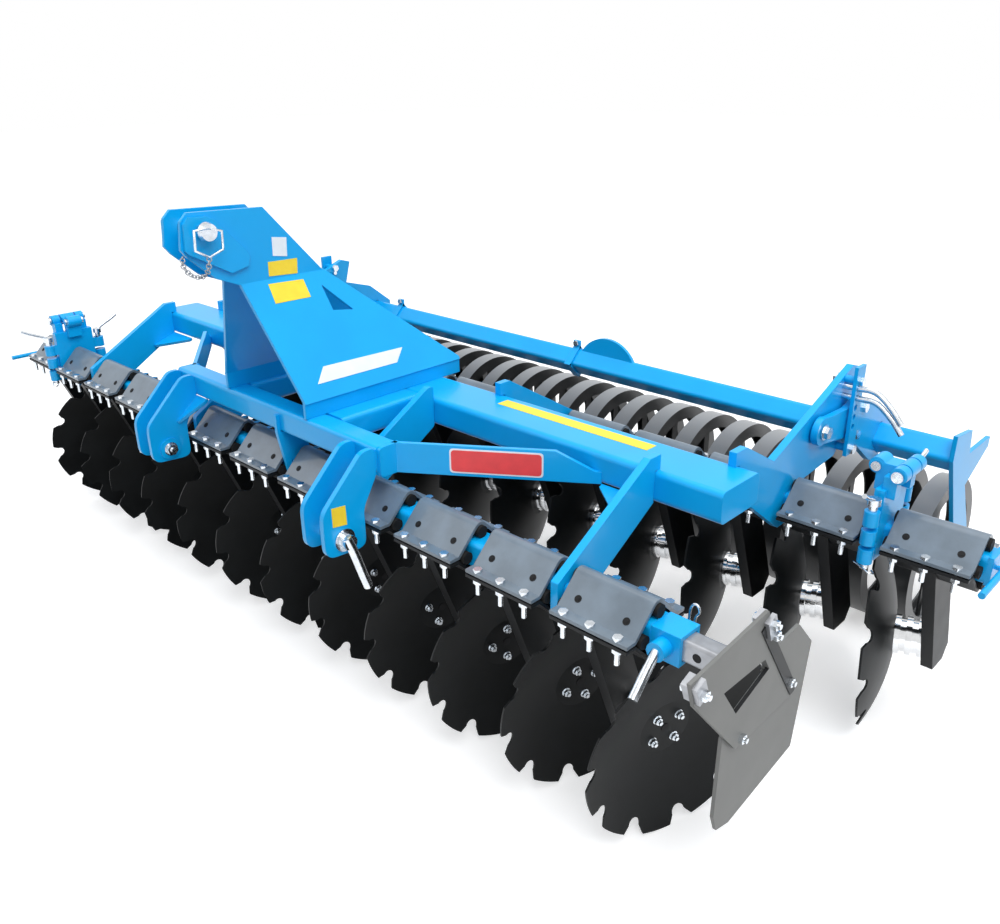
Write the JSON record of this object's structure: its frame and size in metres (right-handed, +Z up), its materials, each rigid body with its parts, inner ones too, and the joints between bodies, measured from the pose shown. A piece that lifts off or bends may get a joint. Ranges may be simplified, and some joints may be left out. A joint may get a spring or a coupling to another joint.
{
  "type": "mounted disc harrow",
  "caption": "Mounted compact disc harrow: notched discs on rubber-sprung arms in two rows, folding row ends, sliding side deflectors, three-point headstock and rear ring roller.",
  "frame": {"origin": "on the ground, under the middle of the bounding box", "axes": "+X across the machine, -Y the way it is pulled, +Z up"},
  "size_m": [3.453, 1.9091, 1.341],
  "materials": {
    "frame_paint": "gloss",
    "disc_steel": "satin",
    "arm_paint": "satin",
    "clamp_paint": "satin",
    "rubber": "matte",
    "zinc": "satin",
    "dark_plate": "satin",
    "roller_steel": "satin"
  },
  "bodies": {
    "frame": {"main_beam": "frame_paint", "hitch_tube": "frame_paint", "rails": "frame_paint", "tower_sides": "frame_paint", "tower_back": "frame_paint", "tower_cheeks": "frame_paint", "top_link_pin": "zinc", "hitch_plates": "frame_paint", "lower_pins": "zinc", "centre_plate": "frame_paint", "disc_beams": "frame_paint", "carriers": "frame_paint", "side_braces": "frame_paint", "clamps": "clamp_paint", "arms": "arm_paint", "cords": "rubber", "hinge_posts": "frame_paint", "housings": "frame_paint", "hole_plates": "frame_paint"},
    "folding_end_front": {"fold_front_stub": "frame_paint", "fold_front_clamp": "clamp_paint", "fold_front_arm": "arm_paint", "fold_front_cords": "rubber"},
    "folding_end_rear": {"fold_rear_stub": "frame_paint", "fold_rear_clamp": "clamp_paint", "fold_rear_arm": "arm_paint", "fold_rear_cords": "rubber"},
    "deflector_slide_front": {"deflector_front": "dark_plate", "deflector_front_plate": "dark_plate"},
    "deflector_slide_rear": {"deflector_rear": "dark_plate", "deflector_rear_plate": "dark_plate"},
    "roller_frame": {"roller_beam": "frame_paint", "roller_ends": "frame_paint", "roller_arms": "frame_paint"},
    "roller": {"roller": "roller_steel"},
    "disc_front_1": {"disc_front_1": "disc_steel"},
    "disc_front_2": {"disc_front_2": "disc_steel"},
    "disc_front_3": {"disc_front_3": "disc_steel"},
    "disc_front_4": {"disc_front_4": "disc_steel"},
    "disc_front_5": {"disc_front_5": "disc_steel"},
    "disc_front_6": {"disc_front_6": "disc_steel"},
    "disc_front_7": {"disc_front_7": "disc_steel"},
    "disc_front_8": {"disc_front_8": "disc_steel"},
    "disc_front_9": {"disc_front_9": "disc_steel"},
    "disc_front_10": {"disc_front_10": "disc_steel"},
    "disc_front_11": {"disc_front_11": "disc_steel"},
    "disc_front_12": {"disc_front_12": "disc_steel"},
    "disc_rear_1": {"disc_rear_1": "disc_steel"},
    "disc_rear_2": {"disc_rear_2": "disc_steel"},
    "disc_rear_3": {"disc_rear_3": "disc_steel"},
    "disc_rear_4": {"disc_rear_4": "disc_steel"},
    "disc_rear_5": {"disc_rear_5": "disc_steel"},
    "disc_rear_6": {"disc_rear_6": "disc_steel"},
    "disc_rear_7": {"disc_rear_7": "disc_steel"},
    "disc_rear_8": {"disc_rear_8": "disc_steel"},
    "disc_rear_9": {"disc_rear_9": "disc_steel"},
    "disc_rear_10": {"disc_rear_10": "disc_steel"},
    "disc_rear_11": {"disc_rear_11": "disc_steel"},
    "disc_rear_12": {"disc_rear_12": "disc_steel"}
  },
  "joints": [
    {"name": "disc_front_1_spin", "type": "hinge", "parent": "frame", "child": "disc_front_1", "pos_m": [1.23777, -0.5564, 0.25849], "axis": [0.9524, -0.2985, -0.0628], "continuous": true},
    {"name": "disc_front_2_spin", "type": "hinge", "parent": "frame", "child": "disc_front_2", "pos_m": [0.98777, -0.5564, 0.25849], "axis": [0.9524, -0.2985, -0.0628], "continuous": true},
    {"name": "disc_front_3_spin", "type": "hinge", "parent": "frame", "child": "disc_front_3", "pos_m": [0.73777, -0.5564, 0.25849], "axis": [0.9524, -0.2985, -0.0628], "continuous": true},
    {"name": "disc_front_4_spin", "type": "hinge", "parent": "frame", "child": "disc_front_4", "pos_m": [0.48777, -0.5564, 0.25849], "axis": [0.9524, -0.2985, -0.0628], "continuous": true},
    {"name": "disc_front_5_spin", "type": "hinge", "parent": "frame", "child": "disc_front_5", "pos_m": [0.23777, -0.5564, 0.25849], "axis": [0.9524, -0.2985, -0.0628], "continuous": true},
    {"name": "disc_front_6_spin", "type": "hinge", "parent": "frame", "child": "disc_front_6", "pos_m": [-0.01223, -0.5564, 0.25849], "axis": [0.9524, -0.2985, -0.0628], "continuous": true},
    {"name": "disc_front_7_spin", "type": "hinge", "parent": "frame", "child": "disc_front_7", "pos_m": [-0.26223, -0.5564, 0.25849], "axis": [0.9524, -0.2985, -0.0628], "continuous": true},
    {"name": "disc_front_8_spin", "type": "hinge", "parent": "frame", "child": "disc_front_8", "pos_m": [-0.51223, -0.5564, 0.25849], "axis": [0.9524, -0.2985, -0.0628], "continuous": true},
    {"name": "disc_front_9_spin", "type": "hinge", "parent": "frame", "child": "disc_front_9", "pos_m": [-0.76223, -0.5564, 0.25849], "axis": [0.9524, -0.2985, -0.0628], "continuous": true},
    {"name": "disc_front_10_spin", "type": "hinge", "parent": "frame", "child": "disc_front_10", "pos_m": [-1.01223, -0.5564, 0.25849], "axis": [0.9524, -0.2985, -0.0628], "continuous": true},
    {"name": "disc_front_11_spin", "type": "hinge", "parent": "frame", "child": "disc_front_11", "pos_m": [-1.26223, -0.5564, 0.25849], "axis": [0.9524, -0.2985, -0.0628], "continuous": true},
    {"name": "disc_front_12_spin", "type": "hinge", "parent": "folding_end_front", "child": "disc_front_12", "pos_m": [-1.52623, -0.5564, 0.25849], "axis": [0.9524, -0.2985, -0.0628], "continuous": true},
    {"name": "disc_rear_1_spin", "type": "hinge", "parent": "frame", "child": "disc_rear_1", "pos_m": [-1.29177, 0.1736, 0.25849], "axis": [-0.9524, -0.2985, -0.0628], "continuous": true},
    {"name": "disc_rear_2_spin", "type": "hinge", "parent": "frame", "child": "disc_rear_2", "pos_m": [-1.04177, 0.1736, 0.25849], "axis": [-0.9524, -0.2985, -0.0628], "continuous": true},
    {"name": "disc_rear_3_spin", "type": "hinge", "parent": "frame", "child": "disc_rear_3", "pos_m": [-0.79177, 0.1736, 0.25849], "axis": [-0.9524, -0.2985, -0.0628], "continuous": true},
    {"name": "disc_rear_4_spin", "type": "hinge", "parent": "frame", "child": "disc_rear_4", "pos_m": [-0.54177, 0.1736, 0.25849], "axis": [-0.9524, -0.2985, -0.0628], "continuous": true},
    {"name": "disc_rear_5_spin", "type": "hinge", "parent": "frame", "child": "disc_rear_5", "pos_m": [-0.29177, 0.1736, 0.25849], "axis": [-0.9524, -0.2985, -0.0628], "continuous": true},
    {"name": "disc_rear_6_spin", "type": "hinge", "parent": "frame", "child": "disc_rear_6", "pos_m": [-0.04177, 0.1736, 0.25849], "axis": [-0.9524, -0.2985, -0.0628], "continuous": true},
    {"name": "disc_rear_7_spin", "type": "hinge", "parent": "frame", "child": "disc_rear_7", "pos_m": [0.20823, 0.1736, 0.25849], "axis": [-0.9524, -0.2985, -0.0628], "continuous": true},
    {"name": "disc_rear_8_spin", "type": "hinge", "parent": "frame", "child": "disc_rear_8", "pos_m": [0.45823, 0.1736, 0.25849], "axis": [-0.9524, -0.2985, -0.0628], "continuous": true},
    {"name": "disc_rear_9_spin", "type": "hinge", "parent": "frame", "child": "disc_rear_9", "pos_m": [0.70823, 0.1736, 0.25849], "axis": [-0.9524, -0.2985, -0.0628], "continuous": true},
    {"name": "disc_rear_10_spin", "type": "hinge", "parent": "frame", "child": "disc_rear_10", "pos_m": [0.95823, 0.1736, 0.25849], "axis": [-0.9524, -0.2985, -0.0628], "continuous": true},
    {"name": "disc_rear_11_spin", "type": "hinge", "parent": "frame", "child": "disc_rear_11", "pos_m": [1.20823, 0.1736, 0.25849], "axis": [-0.9524, -0.2985, -0.0628], "continuous": true},
    {"name": "disc_rear_12_spin", "type": "hinge", "parent": "folding_end_rear", "child": "disc_rear_12", "pos_m": [1.47223, 0.1736, 0.25849], "axis": [-0.9524, -0.2985, -0.0628], "continuous": true},
    {"name": "fold_front_hinge", "type": "hinge", "parent": "frame", "child": "folding_end_front", "pos_m": [-1.4765, -0.6904, 0.78], "axis": [0, 1, 0], "range_deg": [0, 180]},
    {"name": "fold_rear_hinge", "type": "hinge", "parent": "frame", "child": "folding_end_rear", "pos_m": [1.4765, 0.0396, 0.78], "axis": [0, -1, 0], "range_deg": [0, 180]},
    {"name": "deflector_front_slide", "type": "slide", "parent": "frame", "child": "deflector_slide_front", "axis": [1, 0, 0], "range_m": [-0.03, 0.05]},
    {"name": "deflector_rear_slide", "type": "slide", "parent": "frame", "child": "deflector_slide_rear", "axis": [-1, 0, 0], "range_m": [-0.03, 0.05]},
    {"name": "roller_depth", "type": "hinge", "parent": "frame", "child": "roller_frame", "pos_m": [0, 0.1356, 0.778], "axis": [1, 0, 0], "range_deg": [-2, 12]},
    {"name": "roller_spin", "type": "hinge", "parent": "roller_frame", "child": "roller", "pos_m": [0, 0.7046, 0.25], "axis": [1, 0, 0], "continuous": true}
  ]
}
